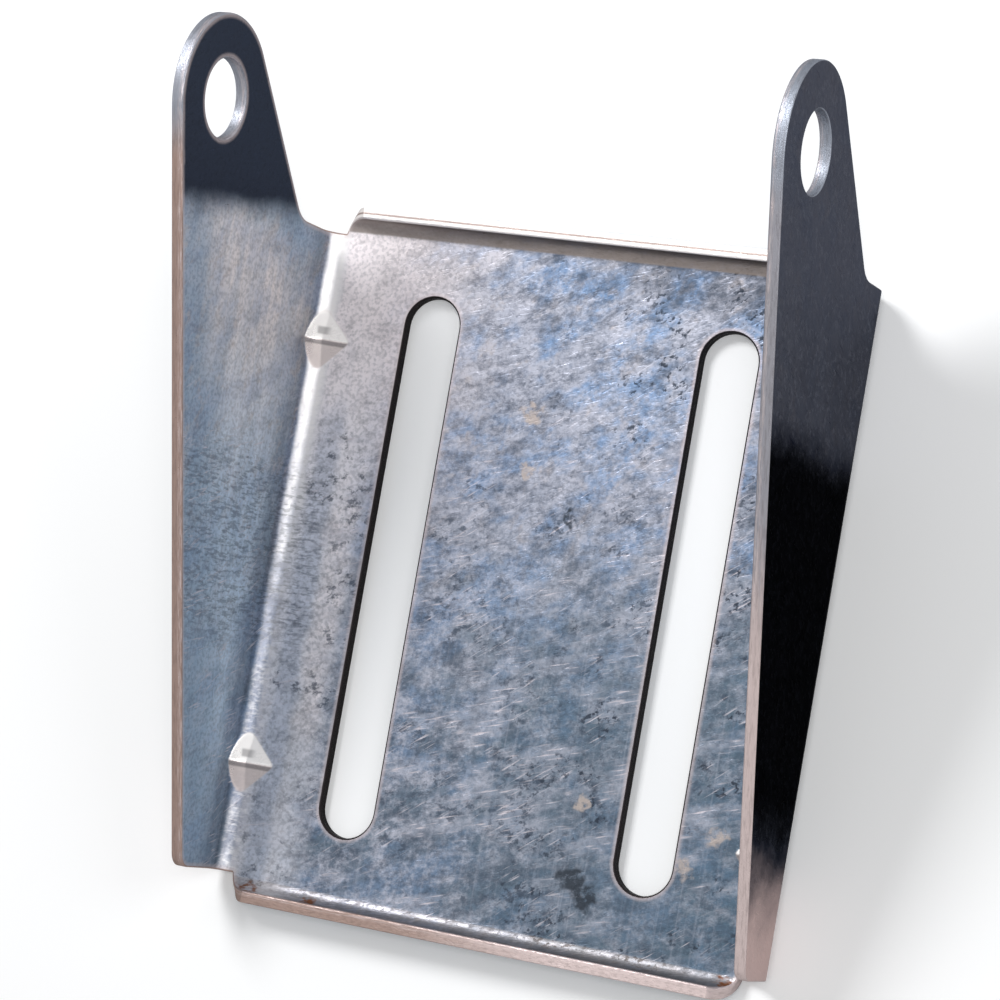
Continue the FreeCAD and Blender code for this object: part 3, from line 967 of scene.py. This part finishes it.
def painted_shade_coats(tint, mask):
    """Mostly painted shade: dark tabs, the dark hollow of the top lip and a weaker brownish tone in the
    bottom lip's, and the dark outside of the ears, black in a band and brownish at their feet.
    """
    return (
        # Painted shade and dark reflection on the tabs, darkest above a line that drops outwards
        (tint.tab, 1.00, mask["tab"], mask["ear"]),
        # Painted shade in the top lip's hollow, and a weaker brownish tone in the bottom lip's
        (tint.lip_hollow_tone_and_shade, 0.85, mask["top_lip"], mask["front"], mask["not_ear"]),
        (tint.lip_hollow_tone_and_shade, 0.45, mask["bottom_lip"], mask["front"], mask["not_ear"]),
        # Painted shade: the outside of the ears is dark, and black in a band between its top and its foot
        (tint.outside, 0.92, mask["outside"]),
        (tint.outside_shade, 0.97, mask["outside"], mask["black_top"], mask["black_foot"]),
        (tint.outside_warm, 0.88, mask["foot"]),
    )


def edge_coats(tint, pattern, mask):
    """Sheared edges, brownish with a bright smooth band and a painted highlight along the front, a painted
    highlight on the top lip's edge, the slots' walls in painted shade, and rusty corners.
    """
    return (
        # Painted highlight, partly the edge's own bright band, along the front of every cut edge
        (tint.edge_burnish_and_highlight, 0.40, mask["by_edge"], mask["front"]),
        (tint.edge, 1.00, mask["rim"]),
        (tint.tab_edge, 0.90, mask["rim"], mask["on_tab"]),
        (tint.tab_edge, 0.75, mask["rim"], mask["grey_rim"], mask["right"]),
        (tint.edge_burnish_and_highlight, 0.80, mask["rim"], mask["lower"], mask["right"]),
        (tint.edge_dark, 0.24, mask["rim"], pattern["streak"]),
        (tint.edge_burnish_and_highlight, 0.75, mask["rim"], mask["burnish_and_highlight"], pattern["light"]),
        # Painted highlight on the top lip's cut edge
        (tint.lip_edge_highlight, 0.92, mask["rim"], mask["top_lip"], mask["not_ear"]),
        (tint.edge, 0.80, mask["rim"], mask["top_lip"], mask["not_ear"], mask["line_above"],
         mask["line_below"]),
        # Painted shade on the slots' walls
        (tint.slot_wall_shade, 0.97, mask["slot_wall_shade"]),
        (tint.rust, 0.95, mask["rust"], pattern["blot"]),
    )


RELIEF_HEIGHT = 0.012 * MM


def zinc_plated_steel(tint, blank):
    """Stamped sheet steel, barrel plated with zinc and passivated.

    The eye sees a satin bluish metal that is mottled all over: pale spangle, blue and pinkish patches,
    dark pits, tumbling scratches that all run up to the right, and faint rolling lines. Painted light and
    shade lie over it: paler beside the left fold and on the upper left, darker below, painted highlights
    on the folds, gussets and the top lip's edge, and painted shade that makes the tabs, the outside of the
    ears, the top lip's hollow and the slots' walls dark. The sheared edges are brownish with a bright
    smooth band.
    """
    material = bpy.data.materials.new("zinc_plated_steel_stamped")
    material.use_nodes = True
    tree = material.node_tree
    shader = tree.nodes["Principled BSDF"]
    at = sheet_sockets(tree)
    pattern = plating_patterns(tree, at["place"])
    mask = sheet_masks(tree, blank, at) | mark_masks(tree, at["place"])
    coats = (
        plating_coats(tint, pattern, mask) + painted_light_and_die_coats(tint, pattern, mask)
        + wear_coats(tint, pattern, mask) + fold_and_gusset_coats(tint, pattern, mask)
        + painted_shade_coats(tint, mask) + edge_coats(tint, pattern, mask)
    )
    tree.links.new(painted(tree, (*tint.zinc, 1), coats), shader.inputs["Base Color"])

    roughness = weighted_sum(
        tree, 0.40, (0.10, pattern["dark"]), (-0.08, pattern["light"]), (0.15, pattern["speck"]),
        (-0.10, pattern["scratch"]), (0.20, mask["smudge"]), (0.15, mask["rust"]), (0.12, mask["fold"]),
        (-0.12, mask["pressed"]),
    )
    tree.links.new(roughness, shader.inputs["Roughness"])

    # Passivated zinc is partly a dull film, most of all in the ears. Less metallic beside the left fold lets
    # the lamps' diffuse light add to the painted light there, and fully metallic tabs and outsides keep their
    # painted shade dark
    metallic = weighted_sum(
        tree, 0.75, (0.25, mask["outside"]), (0.75, mask["tab"]), (-0.55, mask["ear"]),
        (-0.5, mask["foot"]), (-0.68, mask["pale_side"]),
    )
    tree.links.new(metallic, shader.inputs["Metallic"])

    # A dark tint keeps the painted shade outside the ears dark where it is seen at a grazing angle
    shader.inputs["Specular Tint"].default_value = (0.3, 0.3, 0.3, 1)

    relief = weighted_sum(
        tree, 0.0, (0.6, pattern["grit"]), (-1.4, pattern["speck"]), (-1.2, pattern["scratch"]),
        (-1.2, pattern["crossing"]),
    )
    strength = weighted_sum(tree, 1.0, (-0.85, mask["fold"]), (-0.5, mask["pressed"]))
    bump = node(tree, "ShaderNodeBump", {
        "Height": relief, "Distance": RELIEF_HEIGHT, "Strength": strength,
    })
    tree.links.new(bump.outputs["Normal"], shader.inputs["Normal"])
    return material


class MESH_OT_stamped_bracket_add(Operator):
    """Adds the folded bracket as one closed surface in place of the plain solid"""

    bl_idname = "mesh.stamped_bracket_add"
    bl_label = "Stamped bracket"

    def execute(self, context):
        scene = context.scene
        blank = Blank(scene.bracket_sizes)
        points, normals, pq, marks, faces = bracket_surface(blank, scene.bracket_studio.arc_steps)
        mesh = bpy.data.meshes.new("stamped_bracket")
        mesh.from_pydata((points * MM).tolist(), [], faces)
        for name, values in marks.items():
            mesh.attributes.new(name, "FLOAT", "POINT").data.foreach_set("value", values.astype(np.float32))
        vertex = np.empty(len(mesh.loops), np.int32)
        mesh.loops.foreach_get("vertex_index", vertex)
        corner_uv = (pq[vertex] * MM).ravel().astype(np.float32)
        mesh.uv_layers.new(name="blank").data.foreach_set("uv", corner_uv)
        mesh.polygons.foreach_set("use_smooth", np.ones(len(mesh.polygons), bool))
        mesh.materials.append(zinc_plated_steel(scene.bracket_colours, blank))
        mesh.normals_split_custom_set_from_vertices(normals.tolist())
        bracket = bpy.data.objects.new("stamped_bracket", mesh)
        context.collection.objects.link(bracket)
        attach(bracket, "root")
        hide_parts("bracket")
        return {"FINISHED"}


# Name, setting that holds the power, place and width of each square lamp, in metres
LAMPS = (
    ("key_lamp", "key", (-0.50, 0.62, 0.75), 0.35),
    ("top_lamp", "top", (0.30, 0.00, 0.85), 0.35),
    ("side_lamp", "side", (0.75, 0.35, 0.55), 0.45),
)


def add_lamp(context, name, place, width, power):
    """A white square lamp at place that looks at the origin."""
    data = bpy.data.lights.new(name, "AREA")
    data.size = width
    data.energy = power
    lamp = bpy.data.objects.new(name, data)
    context.collection.objects.link(lamp)
    back = np.array(place, float)
    back /= np.linalg.norm(back)

    # A little off the Y axis, so that the cross product can't vanish for a lamp on it
    right = np.cross([0, 1, 0.001], back)
    right /= np.linalg.norm(right)
    up = np.cross(back, right)
    columns = np.stack([right, up, back, place], -1)
    lamp.matrix_world = Matrix(columns.tolist() + [[0, 0, 0, 1]])


def seen_directly(tree):
    """1 for camera, mirror and transmission rays, and 0 for the rays that only carry light."""
    path = node(tree, "ShaderNodeLightPath")
    seen = path.outputs["Is Camera Ray"]
    for other in ("Is Glossy Ray", "Is Transmission Ray"):
        seen = node(tree, "ShaderNodeMath", {0: seen, 1: path.outputs[other]}, operation="MAXIMUM").outputs[0]
    return seen


def pale_paper(studio):
    """Matt pale paper. The lift makes its lit part white to the camera, and its shadow stays."""
    material = bpy.data.materials.new("pale_matt_paper")
    material.use_nodes = True
    tree = material.node_tree
    shader = tree.nodes["Principled BSDF"]
    shader.inputs["Base Color"].default_value = (*studio.floor, 1)
    shader.inputs["Roughness"].default_value = 0.9
    shader.inputs["Specular IOR Level"].default_value = 0.1
    shader.inputs["Emission Color"].default_value = (1, 1, 1, 1)
    lift = node(tree, "ShaderNodeMath", {0: seen_directly(tree), 1: studio.lift}, operation="MULTIPLY")
    tree.links.new(lift.outputs[0], shader.inputs["Emission Strength"])
    return material


# Half the floor's width, and its gap below the mounting face, in metres
FLOOR_HALF = 3.0
FLOOR_DROP = 0.0001


def add_floor(context, studio):
    """One square below the bracket."""
    sides = ((-1, -1), (1, -1), (1, 1), (-1, 1))
    corners = [(x * FLOOR_HALF, y * FLOOR_HALF, -FLOOR_DROP) for x, y in sides]
    mesh = bpy.data.meshes.new("floor")
    mesh.from_pydata(corners, [], [(0, 1, 2, 3)])
    mesh.materials.append(pale_paper(studio))
    floor = bpy.data.objects.new("floor", mesh)
    context.collection.objects.link(floor)


def add_surroundings(scene, studio):
    """White to the camera and in mirrors, and a dim fill light for everything else."""
    world = bpy.data.worlds.new("pale_room")
    world.use_nodes = True
    tree = world.node_tree
    strength = node(tree, "ShaderNodeMapRange", {
        "Value": seen_directly(tree), "To Min": studio.fill, "To Max": 1.0,
    })
    background = tree.nodes["Background"]
    background.inputs["Color"].default_value = (1, 1, 1, 1)
    tree.links.new(strength.outputs["Result"], background.inputs["Strength"])
    scene.world = world


# The photograph's view, solved from its perspective: where the camera stands and the point it is aimed at,
# in metres, and its turn after that about its own right, down and forward axes, in radians
CAMERA_PLACE = (0.28976, -0.03106, 0.67133)
CAMERA_AIM = (0, -0.00697, 0)
CAMERA_TURN = (-0.03603, 0.01368, 0.17264)


def camera_pose():
    """The camera's matrix: aimed at its point, then turned about CAMERA_TURN by that vector's length."""
    place = np.array(CAMERA_PLACE)
    forward = np.array(CAMERA_AIM) - place
    forward /= np.linalg.norm(forward)
    right = np.cross(forward, [0, 1, 0])
    right /= np.linalg.norm(right)
    down = np.cross(forward, right)
    turn = np.array(CAMERA_TURN)
    angle = np.linalg.norm(turn)
    look = np.array(Matrix.Rotation(angle, 3, turn / angle)) @ np.array([right, down, forward])
    columns = np.stack([look[0], -look[1], -look[2], place], -1)
    return Matrix(columns.tolist() + [[0, 0, 0, 1]])


def add_camera(context, studio):
    """A camera at the photograph's view."""
    data = bpy.data.cameras.new("camera")
    data.lens = studio.focal
    data.sensor_width = 36
    data.clip_start = 0.01
    camera = bpy.data.objects.new("camera", data)
    context.collection.objects.link(camera)
    camera.matrix_world = camera_pose()
    context.scene.camera = camera


class SCENE_OT_bracket_studio_add(Operator):
    """Adds the floor, the lamps, the surroundings and the camera"""

    bl_idname = "scene.bracket_studio_add"
    bl_label = "Studio"

    def execute(self, context):
        studio = context.scene.bracket_studio
        add_floor(context, studio)
        add_surroundings(context.scene, studio)
        for name, setting, place, width in LAMPS:
            add_lamp(context, name, place, width, getattr(studio, setting))
        add_camera(context, studio)
        context.scene.view_settings.view_transform = "Standard"
        return {"FINISHED"}


class VIEW3D_PT_stamped_bracket(Panel):
    """Sidebar panel with the bracket's sizes, colours and buttons"""

    bl_label = "Stamped bracket"
    bl_idname = "VIEW3D_PT_stamped_bracket"
    bl_space_type = "VIEW_3D"
    bl_region_type = "UI"
    bl_category = "Bracket"

    def draw(self, context):
        layout = self.layout
        scene = context.scene
        for group in (scene.bracket_sizes, scene.bracket_colours, scene.bracket_studio):
            column = layout.column()
            for name in setting_names(group):
                column.prop(group, name)
        layout.operator(MESH_OT_stamped_bracket_add.bl_idname)
        layout.operator(SCENE_OT_bracket_studio_add.bl_idname)


CLASSES = (
    BracketSizes,
    ZincColours,
    StudioSettings,
    MESH_OT_stamped_bracket_add,
    SCENE_OT_bracket_studio_add,
    VIEW3D_PT_stamped_bracket,
)


def register():
    for made in CLASSES:
        bpy.utils.register_class(made)
    bpy.types.Scene.bracket_sizes = PointerProperty(type=BracketSizes)
    bpy.types.Scene.bracket_colours = PointerProperty(type=ZincColours)
    bpy.types.Scene.bracket_studio = PointerProperty(type=StudioSettings)


def unregister():
    del bpy.types.Scene.bracket_studio
    del bpy.types.Scene.bracket_colours
    del bpy.types.Scene.bracket_sizes
    for made in reversed(CLASSES):
        bpy.utils.unregister_class(made)


def main():
    register()
    bpy.ops.mesh.stamped_bracket_add()
    bpy.ops.scene.bracket_studio_add()


if __name__ == "__main__":
    main()
